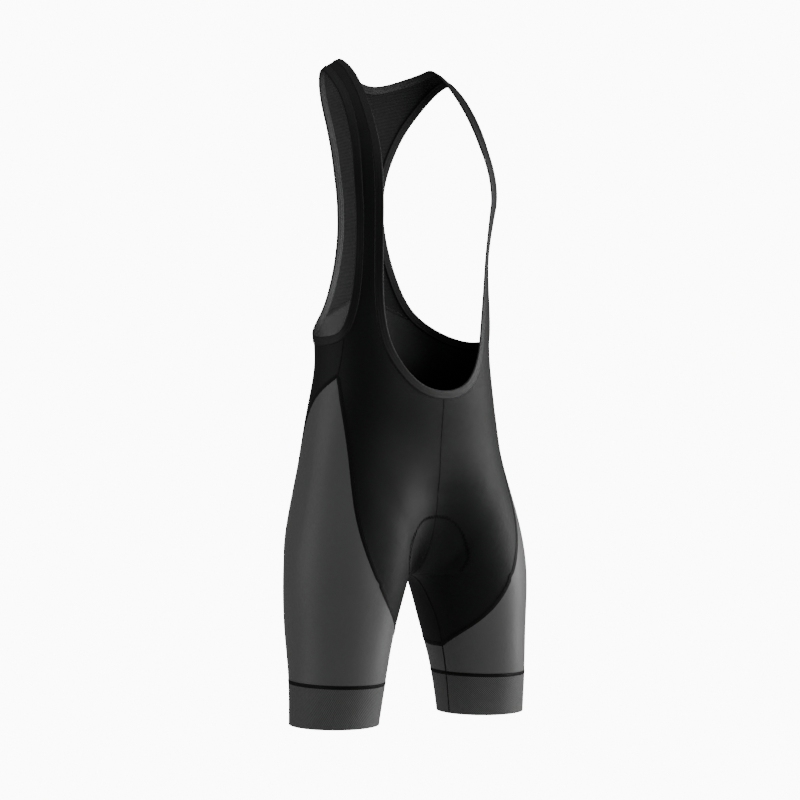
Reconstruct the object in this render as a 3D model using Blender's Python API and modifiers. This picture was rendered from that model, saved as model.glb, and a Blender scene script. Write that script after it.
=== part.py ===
"""Cycling bib shorts, filled out as worn, with nobody in them.

Metres, +Z up, the front facing -Y, the wearer's left at +X.  The origin lies midway between the tops of
the two shoulder straps, where the wearer's shoulders hold the garment up.

The garment's form is a smooth union of a torso and two legs above which a shoulder dome closes.  A place
on it is (around, level): around runs from 0 at the front centre, or at the inseam on a leg, to 1 at the
back centre, and level is a height, which above the chest goes on as an arc over the shoulder.
"""

import bpy
import numpy as np

MM = 0.001
SEAM_GAP = 0.30 * MM
PANEL_WALL = 1.2 * MM
MESH_WALL = 1.0 * MM
CUFF_WALL = 1.5 * MM
BINDING_WALL = 2.2 * MM
BINDING_WIDTH = 11.5 * MM
PAD_WALL = 5.0 * MM
PAD_CLEAR = 1.5 * MM

CHEST = -0.190          # where the shoulder dome starts
DOME_RISE = 0.2035      # from the chest to the dome's top
DOME_HALF_WIDTH = 0.1905
DOME_POWERS = (3.0, 1.514, 1.494)  # across, front to back, up
DOME_LEAN = 0.038       # how far back the dome's top lies
DOME_LEAN_POWER = 1.313
ARC = 0.12              # metres of level for each radian over the shoulder
TORSO_BOTTOM = -0.56    # where the torso starts to round off under the body
TORSO_ROUND = 0.12
LEG_BLEND = 0.016
SPLIT_TOP = -0.50       # where the middle of each half starts to move out into its leg
INSEAM_TURN = np.radians(8.0)
INSEAM_TURN_DEPTH = 0.06
FORK_SEARCH = (-0.80, -0.55)

# height, half width, depth in front, depth behind, squareness
TORSO = np.array([
    (-0.190, 0.1321, 0.1106, 0.0996, 2.3),
    (-0.270, 0.1180, 0.1050, 0.0940, 2.3),
    (-0.345, 0.1260, 0.0904, 0.0891, 2.3),
    (-0.400, 0.1230, 0.0909, 0.0832, 2.3),
    (-0.460, 0.1273, 0.0960, 0.0902, 2.3),
    (-0.520, 0.1335, 0.0856, 0.0971, 2.3),
    (-0.580, 0.1401, 0.0696, 0.1021, 2.2),
])
# height, centre from the middle, half width, depth in front, depth behind
LEG = np.array([
    (-0.190, 0.0500, 0.0300, 0.0300, 0.0300),
    (-0.345, 0.0476, 0.0294, 0.0299, 0.0298),
    (-0.460, 0.0545, 0.0590, 0.0492, 0.0509),
    (-0.540, 0.0603, 0.0754, 0.0748, 0.0876),
    (-0.600, 0.0798, 0.0786, 0.0859, 0.1009),
    (-0.680, 0.0977, 0.0785, 0.0924, 0.0905),
    (-0.760, 0.1091, 0.0652, 0.0828, 0.0893),
    (-0.820, 0.1149, 0.0588, 0.0750, 0.0734),
    (-0.880, 0.1195, 0.0577, 0.0607, 0.0610),
])
# height, the middle of the body front to back
AXIS = np.array([
    (-0.190, -0.0260),
    (-0.345, -0.0285),
    (-0.420, -0.0312),
    (-0.500, -0.0296),
    (-0.580, -0.0382),
    (-0.660, -0.0402),
    (-0.740, -0.0432),
    (-0.880, -0.0459),
])

# The finished edge of the neck opening on one side, in mm: across, back, up
NECK_EDGE = MM * np.array([
    (0, -127, -445),    # front centre
    (36, -124, -435),
    (58, -116, -411),
    (72, -109, -382),   # where the row from the side seam's top meets the neck
    (78, -105, -350),
    (82, -106, -290),
    (85, -111, -230),
    (87, -114, -185),
    (84, -104, -137),
    (81, -80, -84),
    (77, -44, -34),
    (74, -5, -3),       # top of the strap
    (69, 19, 2),        # shoulder seam
    (50, 32, -6),
    (27, 39, -15),
    (0, 42, -20),       # back centre
])
NECK_MARKS = {"front": 0, "armpit": 3, "shoulder": 12, "back": 15}
# The finished edge of the armhole, all round
ARMHOLE_EDGE = MM * np.array([
    (101, 20, -21),     # shoulder seam
    (107, 6, -15),
    (109, -20, -31),
    (109, -42, -55),
    (111, -62, -88),
    (114, -78, -127),
    (115, -86, -165),
    (112, -86, -200),
    (108, -81, -235),
    (106, -77, -270),
    (108, -76, -300),
    (113, -75, -328),
    (118, -71, -350),
    (122, -61, -368),   # side seam
    (127, -37, -374),
    (127, -12, -373),
    (115, 16, -365),
    (98, 35, -352),
    (77, 48, -332),     # arch seam
    (57, 57, -294),
    (45, 62, -254),
    (39, 68, -210),
    (41, 71, -160),
    (51, 66, -118),
    (66, 56, -80),
    (86, 40, -45),
])
ARM_MARKS = {"shoulder": 0, "side": 13, "arch": 18}
ARCH_TOP = (0.0, 0.066, -0.307)        # the arch seam at the back centre
SIDE_MEET = (0.1225, -0.0605, -0.426)  # where side seam and leg seams meet
# The seam between the front and a leg: around, height
FRONT_LEG_SEAM = np.array([
    (0.000, -0.787),
    (0.110, -0.766),
    (0.180, -0.745),
    (0.235, -0.718),
    (0.268, -0.682),
    (0.305, -0.645),
    (0.343, -0.605),
    (0.365, -0.560),
    (0.370, -0.510),
    (0.384, -0.465),
])
# The seam between the seat and a leg: around, height
SEAT_LEG_SEAM = np.array([
    (0.465, -0.436),
    (0.507, -0.448),
    (0.550, -0.468),
    (0.590, -0.505),
    (0.615, -0.550),
    (0.635, -0.610),
    (0.660, -0.670),
    (0.700, -0.725),
    (0.760, -0.765),
    (0.850, -0.784),
    (1.000, -0.787),
])
BACK_WAIST = -0.520  # where the row from the side seam's top meets the back centre
CUFF_TOP = -0.826
HEM = -0.881

# The number of faces along and across the pieces
ACROSS = 6
RISE_STEPS, BELLY_STEPS, STRAP_STEPS = 9, 6, 16
SIDE_STEPS = 2
SEAT_STEPS, ARM_BACK_STEPS = 14, 6
FORK_CROWD, INSEAM_CROWD = 1.25, 1.6  # how much rows and columns crowd towards the fork
YOKE_STEPS, BACK_NECK_STEPS = 8, 6
LEG_STEPS = 6
FLIPPED = (0, 3, 2, 1)  # a four-sided face turned over, still split between the same two corners


def spline(knots, values, at):
    """A natural cubic spline through the rows of values, held level past its ends."""
    order = np.argsort(knots)
    knots, values = np.asarray(knots)[order], np.asarray(values)[order]
    gaps = np.diff(knots)
    rows = len(knots)
    matrix = np.eye(rows)
    right = np.zeros_like(values)
    inner = np.arange(1, rows - 1)
    matrix[inner, inner - 1] = gaps[:-1]
    matrix[inner, inner] = 2 * (gaps[:-1] + gaps[1:])
    matrix[inner, inner + 1] = gaps[1:]
    slopes = np.diff(values, axis=0) / gaps[:, None]
    right[1:-1] = 6 * np.diff(slopes, axis=0)
    bend = np.linalg.solve(matrix, right)
    at = np.clip(at, knots[0], knots[-1])
    i = np.clip(np.searchsorted(knots, at, side="right") - 1, 0, rows - 2)
    gap = gaps[i][..., None]
    past = (at - knots[i])[..., None]
    left = gap - past
    return (
        (bend[i] * left**3 + bend[i + 1] * past**3) / (6 * gap)
        + (values[i] / gap - bend[i] * gap / 6) * left
        + (values[i + 1] / gap - bend[i + 1] * gap / 6) * past
    )


def smooth_step(t):
    """0 to 1 with level ends."""
    t = np.clip(t, 0, 1)
    return t * t * (3 - 2 * t)


def middle_back(height):
    """Where the middle of the body lies front to back."""
    return spline(AXIS[:, 0], AXIS[:, 1:], np.minimum(height, CHEST))[..., 0]


def trunk_field(x, y, z):
    """Below 0 inside the torso and legs: each a superellipse, joined by a smooth minimum."""
    width, front, behind, power = np.moveaxis(spline(TORSO[:, 0], TORSO[:, 1:], z), -1, 0)
    centre, leg_width, leg_front, leg_behind = np.moveaxis(spline(LEG[:, 0], LEG[:, 1:], z), -1, 0)
    back = y - middle_back(z)
    depth = np.where(back < 0, front, behind)
    radius = ((np.abs(x) / width) ** power + (np.abs(back) / depth) ** power) ** (1 / power)
    under = np.clip((TORSO_BOTTOM - z) / TORSO_ROUND, 0, None)
    total = np.exp(-(np.hypot(radius, under) - 1) * 0.5 * (width + depth) / LEG_BLEND)
    leg_depth = np.where(back < 0, leg_front, leg_behind)
    for side in (1, -1):
        radius = np.hypot((side * x - centre) / leg_width, back / leg_depth)
        total = total + np.exp(-(radius - 1) * 0.5 * (leg_width + leg_depth) / LEG_BLEND)
    return -LEG_BLEND * np.log(total)


def dome_field(x, y, z):
    """Below 0 inside the shoulder dome, whose sections turn from the chest's to fuller ones upwards."""
    width, front, behind, power = spline(TORSO[:, 0], TORSO[:, 1:], np.array(CHEST))
    up = np.clip((z - CHEST) / DOME_RISE, 0, None)
    mix = smooth_step(up / 0.4)
    back = y - middle_back(np.array(CHEST)) - DOME_LEAN * up**DOME_LEAN_POWER
    half = width + (DOME_HALF_WIDTH - width) * np.clip(up, 0, 1)
    depth = np.where(back < 0, front, behind)
    across, deep, high = DOME_POWERS
    return (
        (np.abs(x) / half) ** (power + (across - power) * mix)
        + (np.abs(back) / depth) ** (power + (deep - power) * mix)
        + up**high
        - 1
    )


def field(x, y, z):
    """Below 0 inside the garment's form."""
    low = trunk_field(x, y, np.minimum(z, CHEST))
    return np.where(z > CHEST, dome_field(x, y, np.maximum(z, CHEST)), low)


def find_fork():
    """The height of the crotch: the lowest point of the torso between the legs."""
    low, high = FORK_SEARCH
    for _ in range(50):
        height = np.array((low + high) / 2)
        if field(np.array(0.0), middle_back(height), height) > 0:
            low = float(height)
        else:
            high = float(height)
    return high


FORK = find_fork()


def middle_across(level):
    """The middle of one half: 0 on the body, moving out to the middle of the leg."""
    out = smooth_step((SPLIT_TOP - level) / (SPLIT_TOP - FORK))
    return out * spline(LEG[:, 0], LEG[:, 1:2], level)[..., 0]


def turn_ends(level):
    """The directions of around 0 and around 1, seen from the middle of one half."""
    centre, middle = middle_across(level), middle_back(level)
    ends = []
    for sign in (-1, 1):
        near, far = np.zeros_like(level), np.full_like(level, 0.3)
        for _ in range(40):
            reach = (near + far) / 2
            out = trunk_field(np.zeros_like(level), middle + sign * reach, level) > 0
            near, far = np.where(out, near, reach), np.where(out, reach, far)
        ends.append(np.where(level > FORK, near, 0))
    start = np.arctan2(-centre, ends[0])
    stop = 2 * np.pi + np.arctan2(-centre, -ends[1])
    stop = np.where(centre < 1e-9, np.pi, stop)
    turn = INSEAM_TURN * np.clip((FORK - level) / INSEAM_TURN_DEPTH, 0, 1)
    return start + turn, stop + turn


def on_form(place):
    """The points of the form at places (around, level), found along rays from the middle."""
    around, level = np.asarray(place, float)[..., 0], np.asarray(place, float)[..., 1]
    low = np.minimum(level, CHEST)
    centre, middle = middle_across(low), middle_back(low)
    start, stop = turn_ends(low)
    angle = start + (stop - start) * around
    rise = np.clip((level - CHEST) / ARC, 0, np.pi / 2)
    step = np.stack([np.sin(angle) * np.cos(rise), -np.cos(angle) * np.cos(rise), np.sin(rise)], -1)
    origin = np.stack([centre, middle, low], -1)
    inward = np.maximum(-step[..., 0], 1e-6)
    near, far = np.zeros_like(around), np.minimum(np.where(step[..., 0] < -1e-6, centre / inward, 0.5), 0.5)
    for _ in range(34):
        reach = (near + far) / 2
        x, y, z = np.moveaxis(origin + reach[..., None] * step, -1, 0)
        out = field(x, y, np.where(level > CHEST, z, low)) > 0
        near, far = np.where(out, near, reach), np.where(out, reach, far)
    return origin + near[..., None] * step


def place_of(points):
    """The places (around, level) of points on or near the form."""
    points = np.asarray(points, float)
    low = np.minimum(points[..., 2], CHEST)
    start, stop = turn_ends(low)
    x, y = points[..., 0] - middle_across(low), points[..., 1] - middle_back(low)
    angle = np.arctan2(x, -y)
    angle = np.where(angle < start - 1e-6, angle + 2 * np.pi, angle)
    rise = np.arctan2(np.maximum(points[..., 2] - CHEST, 0), np.hypot(x, y))
    return np.stack([(angle - start) / (stop - start), low + rise * ARC], -1)


def normals(points):
    """The outward direction of the form at points: the slope of its field."""
    step = 1e-5
    slope = []
    for axis in np.eye(3):
        ahead, behind = points + step * axis, points - step * axis
        slope.append(field(*np.moveaxis(ahead, -1, 0)) - field(*np.moveaxis(behind, -1, 0)))
    slope = np.stack(slope, -1)
    slope[..., 0] = np.where(np.abs(points[..., 0]) < 1e-6, 0, slope[..., 0])
    return slope / np.linalg.norm(slope, axis=-1, keepdims=True)


def length_along(points):
    """The distance along a row of points, from its first."""
    steps = np.linalg.norm(np.diff(points, axis=0), axis=1)
    return np.concatenate([[0], np.cumsum(steps)])


def evenly(places, steps, crowd=1.0):
    """Places along a fine row, spaced evenly on the form, or crowded at its start by a power."""
    along = length_along(on_form(places))
    even = along[-1] * np.linspace(0, 1, steps + 1) ** crowd
    return np.stack([np.interp(even, along, places[:, 0]), np.interp(even, along, places[:, 1])], -1)


def edge_curve(rows, closed):
    """A fine smooth curve on the form through an edge's rows, and the rows' places along it."""
    if closed:
        around = np.vstack([rows[-3:], rows, rows[:4]])
    else:
        mirror = rows * (-1, 1, 1)
        around = np.vstack([mirror[3:0:-1], rows, mirror[-2:-5:-1]])
    along = length_along(around)
    count = len(rows) + (1 if closed else 0)
    marks = along[3:3 + count]
    fine = np.concatenate([
        np.linspace(a, b, 12, endpoint=False) for a, b in zip(marks[:-1], marks[1:])
    ] + [marks[-1:]])
    curve = spline(along, around, fine)
    curve[..., 0] = np.maximum(curve[..., 0], 0)
    return on_form(place_of(curve)), 12 * np.arange(count)


def moved_into_cloth(curve, distance, side, closed):
    """A curve moved along the form, square to itself; side is 1 where the cloth lies to its left."""
    if closed:
        ahead = np.roll(curve[:-1], -1, axis=0) - np.roll(curve[:-1], 1, axis=0)
        ahead = np.vstack([ahead, ahead[:1]])
    else:
        ahead = np.gradient(curve, axis=0)
        ahead[[0, -1], 1:] = 0
        ahead[[0, -1], 0] = (1, -1)
    inward = side * np.cross(normals(curve), ahead)
    inward /= np.linalg.norm(inward, axis=1, keepdims=True)
    moved = curve + distance * inward
    moved[..., 0] = np.maximum(moved[..., 0], 0)
    return on_form(place_of(moved))


def patch(left, right, bottom, top):
    """Places inside four rows of places that meet at their ends, by Coons' formula."""
    s = np.linspace(0, 1, len(bottom))[None, :, None]
    t = np.linspace(0, 1, len(left))[:, None, None]
    across = (1 - s) * left[:, None] + s * right[:, None]
    along = (1 - t) * bottom[None] + t * top[None]
    corners = (
        (1 - s) * (1 - t) * left[0] + s * (1 - t) * right[0] + (1 - s) * t * left[-1] + s * t * right[-1]
    )
    return across + along - corners


def straight(start, stop, steps, crowd=1.0):
    """Places on the straight run between two places, evenly spaced or crowded at its start."""
    return evenly(start + np.linspace(0, 1, 60)[:, None] * (np.asarray(stop) - start), steps, crowd)


def joined(*rows):
    """Rows of places end to end, each starting where the last stops."""
    return np.vstack([rows[0]] + [row[1:] for row in rows[1:]])


def stretch(curve, marks, first, last, steps):
    """The places of one stretch of an edge curve, evenly spaced."""
    return evenly(place_of(curve[marks[first]:marks[last] + 1]), steps)


def seam(rows, steps):
    """Places along a smooth seam through rows of (around, height), evenly spaced."""
    along = length_along(on_form(rows))
    return evenly(spline(along, rows, np.linspace(0, along[-1], 120)), steps)


neck, neck_rows = edge_curve(NECK_EDGE, False)
neck_in = moved_into_cloth(neck, BINDING_WIDTH, -1, False)
arm, arm_rows = edge_curve(ARMHOLE_EDGE, True)
arm_in = moved_into_cloth(arm, BINDING_WIDTH, -1, True)
neck_at = [neck_rows[NECK_MARKS[name]] for name in ("front", "armpit", "shoulder", "back")]
arm_at = [arm_rows[ARM_MARKS[name]] for name in ("shoulder", "side", "arch")] + [arm_rows[-1]]


def grids():
    """The grid of places of each panel on the left half, rows upward and columns away from the middle."""
    side_top = place_of(arm_in[arm_at[1]])
    side_meet = place_of(SIDE_MEET)
    fork = np.array([0.0, FORK])
    neck_front = place_of(neck_in[neck_at[0]])
    front_seam = seam(np.vstack([FRONT_LEG_SEAM, side_meet]), SEAT_STEPS)
    seat_seam = seam(np.vstack([side_meet, SEAT_LEG_SEAM]), SEAT_STEPS)
    side_seam = straight(side_meet, side_top, SIDE_STEPS)
    inseam_top = np.array([0.0, FRONT_LEG_SEAM[0, 1]])

    rise = straight(fork, neck_front, RISE_STEPS, FORK_CROWD)
    belly = stretch(neck_in, neck_at, 0, 1, BELLY_STEPS + 1)
    strap = stretch(neck_in, neck_at, 1, 2, STRAP_STEPS)
    arm_front = place_of(arm_in[:arm_at[1] + 1])[::-1]
    shoulder = straight(strap[-1], arm_front[-1], ACROSS)
    front = patch(
        joined(rise, belly, strap),
        joined(front_seam, side_seam, evenly(arm_front, STRAP_STEPS)),
        straight(fork, inseam_top, ACROSS, INSEAM_CROWD),
        shoulder,
    )

    back_fork = np.array([1.0, FORK])
    arch_middle = place_of(ARCH_TOP)
    back_waist = np.array([1.0, BACK_WAIST])
    arm_back = stretch(arm_in, arm_at, 1, 2, ARM_BACK_STEPS)
    arch = straight(arch_middle, arm_back[-1], ACROSS)
    seat = patch(
        joined(
            straight(back_fork, back_waist, SEAT_STEPS + SIDE_STEPS, FORK_CROWD),
            straight(back_waist, arch_middle, ARM_BACK_STEPS),
        ),
        joined(seat_seam[::-1], side_seam, arm_back),
        straight(back_fork, inseam_top + (1, 0), ACROSS, INSEAM_CROWD),
        arch,
    )

    neck_middle = place_of(neck_in[-1])
    yoke = patch(
        joined(
            straight(arch_middle, neck_middle, YOKE_STEPS),
            stretch(neck_in, neck_at, 2, 3, BACK_NECK_STEPS)[::-1],
        ),
        stretch(arm_in, arm_at, 2, 3, YOKE_STEPS + BACK_NECK_STEPS),
        arch,
        shoulder,
    )

    leg_top = joined(front_seam, seat_seam)
    t = np.linspace(0, 1, LEG_STEPS + 1)[:, None, None]
    half = (1 - (1 - np.linspace(0, 1, SEAT_STEPS + 1)) ** 2) / 2
    around = np.concatenate([half, 1 - half[-2::-1]])
    cuff_line = np.stack([around, np.full_like(around, CUFF_TOP)], -1)
    leg = (1 - t) * cuff_line + t * leg_top
    hem_line = np.stack([cuff_line[:, 0], np.full_like(around, HEM)], -1)
    t = np.linspace(0, 1, 3)[:, None, None]
    cuff = (1 - t) * hem_line + t * cuff_line
    return {"front": front, "back": seat, "yoke": yoke, "leg": leg, "cuff": cuff}


def drawn_in(points, sides=("left", "right", "bottom", "top")):
    """A grid's border moved half a seam gap into the piece, square to each side."""
    outward = normals(points)
    result = points.copy()
    for side in sides:
        row = {"left": np.s_[:, 0], "right": np.s_[:, -1], "bottom": np.s_[0], "top": np.s_[-1]}[side]
        inner = {"left": np.s_[:, 1], "right": np.s_[:, -2], "bottom": np.s_[1], "top": np.s_[-2]}[side]
        inward = np.cross(outward[row], np.gradient(points[row], axis=0))
        inward *= np.sign(np.sum(inward * (points[inner] - points[row]), axis=1, keepdims=True))
        result[row] += inward / np.linalg.norm(inward, axis=1, keepdims=True) * SEAM_GAP / 2
    return result


def material(name, colour, roughness):
    """A plain cloth material."""
    made = bpy.data.materials.new(name)
    made.use_nodes = True
    shader = made.node_tree.nodes["Principled BSDF"]
    shader.inputs["Base Color"].default_value = (*colour, 1)
    shader.inputs["Roughness"].default_value = roughness
    shader.inputs["Metallic"].default_value = 0.0
    return made


def grid_faces(rows, columns):
    """The faces of a grid of points."""
    corner = (np.arange(rows - 1)[:, None] * columns + np.arange(columns - 1)).ravel()
    return np.stack([corner, corner + 1, corner + columns + 1, corner + columns], -1)


def shell(name, points, faces, wall, look, side=1, depth=0.5, mirrored=False):
    """A wall along a surface, square to the form, with its rim closed.

    The share depth of the wall lies inside the points.  Side -1 is the wearer's right; a mirrored piece
    is both sides in one, open along the middle until the Mirror joins them.
    """
    points = np.reshape(points, (-1, 3))
    outward = normals(points)
    first, second = (points[faces[:, k]] - points[faces[:, 0]] for k in (1, 2))
    if np.sum(np.cross(first, second) * outward[faces[:, 0]]) < 0:
        faces = faces[:, FLIPPED]
    count = len(points)
    starts, stops = faces.ravel(), np.roll(faces, -1, axis=1).ravel()
    border = ~np.isin(starts * count + stops, stops * count + starts)
    if mirrored:
        border &= (np.abs(points[starts, 0]) > 1e-7) | (np.abs(points[stops, 0]) > 1e-7)
    starts, stops = starts[border], stops[border]
    rim = np.stack([stops, starts, starts + count, stops + count], -1)
    walls = np.vstack([points + (1 - depth) * wall * outward, points - depth * wall * outward])
    faces = np.vstack([faces, faces[:, FLIPPED] + count, rim])
    if side < 0:
        walls, faces = walls * (-1, 1, 1), faces[:, FLIPPED]
    used, index = np.unique(faces, return_inverse=True)
    mesh = bpy.data.meshes.new(name)
    mesh.from_pydata(walls[used].tolist(), [], index.reshape(faces.shape).tolist())
    mesh.materials.append(look)
    made = bpy.data.objects.new(name, mesh)
    garment.objects.link(made)
    if mirrored:
        mirror = made.modifiers.new("Both sides", "MIRROR")
        mirror.merge_threshold = 0.00005


def panels(places):
    """The cut panels: front, back, yoke, legs and cuffs."""
    black = material("black_lycra", (0.010, 0.010, 0.011), 0.6)
    grey = material("grey_lycra", (0.075, 0.075, 0.078), 0.55)
    mesh_cloth = material("mesh", (0.030, 0.030, 0.032), 0.7)
    gripper = material("gripper", (0.060, 0.060, 0.063), 0.7)
    looks = {
        "front": (black, PANEL_WALL), "back": (black, PANEL_WALL),
        "leg": (grey, PANEL_WALL), "cuff": (gripper, CUFF_WALL),
    }
    for piece, (look, wall) in looks.items():
        points = drawn_in(on_form(places[piece]))
        faces = grid_faces(*points.shape[:2])
        for side, word in ((1, "left"), (-1, "right")):
            shell(f"{piece}_{word}", points, faces, wall, look, side)
    points = on_form(places["yoke"])
    middle = slice(0, YOKE_STEPS + 1)
    points = drawn_in(points, ("right", "bottom", "top"))
    neckline = drawn_in(on_form(places["yoke"])[YOKE_STEPS:], ("left",))
    points[YOKE_STEPS + 1:, 0] += neckline[1:, 0] - on_form(places["yoke"])[YOKE_STEPS + 1:, 0]
    points[YOKE_STEPS, 0, 2] -= SEAM_GAP / 2
    points[middle, 0, 0] = 0
    faces = grid_faces(*points.shape[:2])
    shell("back_mesh", points, faces, MESH_WALL, mesh_cloth, mirrored=True)


def bindings(places):
    """The elastic bindings: strips between the sewn edge of the panels and the finished edge."""
    trim = material("binding", (0.012, 0.012, 0.013), 0.5)
    lines = {
        "neck": (neck, neck_in, (0, BELLY_STEPS + 1, STRAP_STEPS, BACK_NECK_STEPS), neck_at),
        "armhole": (arm, arm_in, (0, STRAP_STEPS, ARM_BACK_STEPS, YOKE_STEPS + BACK_NECK_STEPS), arm_at),
    }
    for name, (edge, sewn, counts, marks) in lines.items():
        picks = []
        for count, first, last in zip(counts[1:], marks[:-1], marks[1:]):
            along = length_along(sewn[first:last + 1])
            even = np.linspace(0, along[-1], count + 1)[:-1]
            picks.append(first + np.interp(even, along, np.arange(last - first + 1)))
        picks = np.concatenate(picks + [[marks[-1]]])
        whole = np.arange(len(edge))
        inner, outer = (
            np.stack([np.interp(picks, whole, line[:, k]) for k in range(3)], -1) for line in (sewn, edge)
        )
        inward = (inner - outer) / np.linalg.norm(inner - outer, axis=1, keepdims=True)
        inner = inner - inward * SEAM_GAP / 2
        rows = np.stack([outer, (outer + inner) / 2, inner])
        count = len(picks)
        if name == "neck":
            rows[:, [0, -1], 0] = 0
            shell("neck_binding", rows, grid_faces(3, count), BINDING_WALL, trim, mirrored=True)
            continue
        rows = rows[:, :-1]
        count -= 1
        faces = grid_faces(3, count)
        ends = np.arange(2) * count
        closing = np.stack([ends + count - 1, ends, ends + count, ends + 2 * count - 1], -1)
        faces = np.vstack([faces, closing])
        for side, word in ((1, "left"), (-1, "right")):
            shell(f"armhole_binding_{word}", rows, faces, BINDING_WALL, trim, side)


def seat_pad(places):
    """The foam pad sewn inside the fork: the panels' own points, moved inwards."""
    foam = material("pad", (0.05, 0.05, 0.055), 0.8)
    front, back = on_form(places["front"]), on_form(places["back"])
    front_rows, back_rows, columns = 4, 6, 4
    block = np.vstack([
        front[front_rows:0:-1, :columns],
        ((front[0] + back[0]) / 2)[None, :columns],
        back[1:back_rows + 1, :columns],
    ])
    block = block - normals(block) * (PANEL_WALL / 2 + PAD_CLEAR)
    block[:, 0, 0] = 0
    faces = grid_faces(*block.shape[:2])
    keep = np.ones(len(faces), bool)
    keep[[columns - 2, len(faces) - 1]] = False
    shell("seat_pad", block, faces[keep], PAD_WALL, foam, depth=1.0, mirrored=True)


for old in list(bpy.data.objects):
    bpy.data.objects.remove(old, do_unlink=True)
garment = bpy.data.collections.new("cycling_bib_shorts")
bpy.context.scene.collection.children.link(garment)
panel_places = grids()
panels(panel_places)
bindings(panel_places)
seat_pad(panel_places)
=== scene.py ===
"""Cycling bib shorts, filled out as worn, with nobody in them: the finished look of every piece.

Metres, +Z up, the front facing -Y, the wearer's left at +X, the origin between the strap tops.
"""

import bpy
import numpy as np
from mathutils import Matrix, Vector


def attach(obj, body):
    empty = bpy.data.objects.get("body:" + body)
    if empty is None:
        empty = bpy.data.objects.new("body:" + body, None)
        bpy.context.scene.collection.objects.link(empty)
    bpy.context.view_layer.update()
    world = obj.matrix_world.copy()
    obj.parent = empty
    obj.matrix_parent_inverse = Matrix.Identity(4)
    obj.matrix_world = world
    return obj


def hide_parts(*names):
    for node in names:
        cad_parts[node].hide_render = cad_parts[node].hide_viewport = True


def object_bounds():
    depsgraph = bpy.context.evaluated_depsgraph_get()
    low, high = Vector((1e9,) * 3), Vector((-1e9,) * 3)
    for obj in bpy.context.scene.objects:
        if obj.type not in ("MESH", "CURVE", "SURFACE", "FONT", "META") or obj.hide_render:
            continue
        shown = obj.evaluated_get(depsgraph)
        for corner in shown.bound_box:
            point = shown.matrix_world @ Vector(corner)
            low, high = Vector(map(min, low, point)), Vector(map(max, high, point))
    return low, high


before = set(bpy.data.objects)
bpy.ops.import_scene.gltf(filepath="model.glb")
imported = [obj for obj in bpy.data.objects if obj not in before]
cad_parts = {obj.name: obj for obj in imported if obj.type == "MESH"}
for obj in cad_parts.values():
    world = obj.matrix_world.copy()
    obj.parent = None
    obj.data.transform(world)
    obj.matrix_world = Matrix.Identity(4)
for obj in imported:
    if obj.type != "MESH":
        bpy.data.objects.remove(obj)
cad_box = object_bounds()

# ---- The studio -------------------------------------------------------------------------------------
# A pale floor well below the garment, a tall softbox at each side, a broad one in front and a weak one
# above; the camera looks at the wearer's right front, almost level.

VIEW_TURN, VIEW_RISE = np.radians(-35.0), np.radians(-1.12)
VIEW_DISTANCE = 2.628
AIM = (-0.0039, -0.0313, -0.4562)
LENS = 87.5
FLOOR_DROP, FLOOR_HALF = 0.9, 2.0
SEEN_STRENGTH, LIGHT_STRENGTH = 11.0, 0.10  # the world as the camera sees it, and as it lights


def away(turn, rise):
    """The direction from the garment at a turn about Z from the front, and a rise above level."""
    return np.array([np.sin(turn) * np.cos(rise), -np.cos(turn) * np.cos(rise), np.sin(rise)])


def faced(thing, place, aim):
    """A camera or lamp put at a place and turned to look at a point."""
    back = np.array(place) - np.array(aim)
    back /= np.linalg.norm(back)
    right = np.cross((0, 0, 1), back)
    right /= np.linalg.norm(right)
    turned = np.eye(4)
    turned[:3, :3] = np.stack([right, np.cross(back, right), back], 1)
    turned[:3, 3] = place
    made = bpy.data.objects.new(thing.name, thing)
    bpy.context.scene.collection.objects.link(made)
    made.matrix_world = Matrix(turned.tolist())
    return made


camera = bpy.data.cameras.new("Camera")
camera.lens = LENS
camera.clip_end = 50
bpy.context.scene.camera = faced(camera, np.array(AIM) + VIEW_DISTANCE * away(VIEW_TURN, VIEW_RISE), AIM)

# turn about Z from the front, rise, distance, width, height, watts
SOFTBOXES = {
    "Rim_right": (-118, 5, 1.8, 0.4, 1.7, 7),
    "Rim_left": (68, 8, 1.7, 0.55, 1.7, 30),
    "Front": (4, 12, 2.6, 1.0, 1.8, 20),
    "Top": (-35, 80, 2.0, 1.4, 1.4, 5),
}
for name, (turn, rise, distance, width, height, watts) in SOFTBOXES.items():
    lamp = bpy.data.lights.new(name, "AREA")
    lamp.shape = "RECTANGLE"
    lamp.size, lamp.size_y, lamp.energy = width, height, watts
    faced(lamp, np.array(AIM) + distance * away(np.radians(turn), np.radians(rise)), AIM)

world = bpy.data.worlds.new("Studio")
bpy.context.scene.world = world
world.use_nodes = True
nodes, links = world.node_tree.nodes, world.node_tree.links
nodes.clear()
seen = nodes.new("ShaderNodeBackground")
seen.inputs["Color"].default_value = (1, 1, 1, 1)
seen.inputs["Strength"].default_value = SEEN_STRENGTH
lit = nodes.new("ShaderNodeBackground")
lit.inputs["Color"].default_value = (1, 1, 1, 1)
lit.inputs["Strength"].default_value = LIGHT_STRENGTH
ray = nodes.new("ShaderNodeLightPath")
either = nodes.new("ShaderNodeMixShader")
whole = nodes.new("ShaderNodeOutputWorld")
links.new(ray.outputs["Is Camera Ray"], either.inputs[0])
links.new(lit.outputs[0], either.inputs[1])
links.new(seen.outputs[0], either.inputs[2])
links.new(either.outputs[0], whole.inputs["Surface"])

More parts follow.
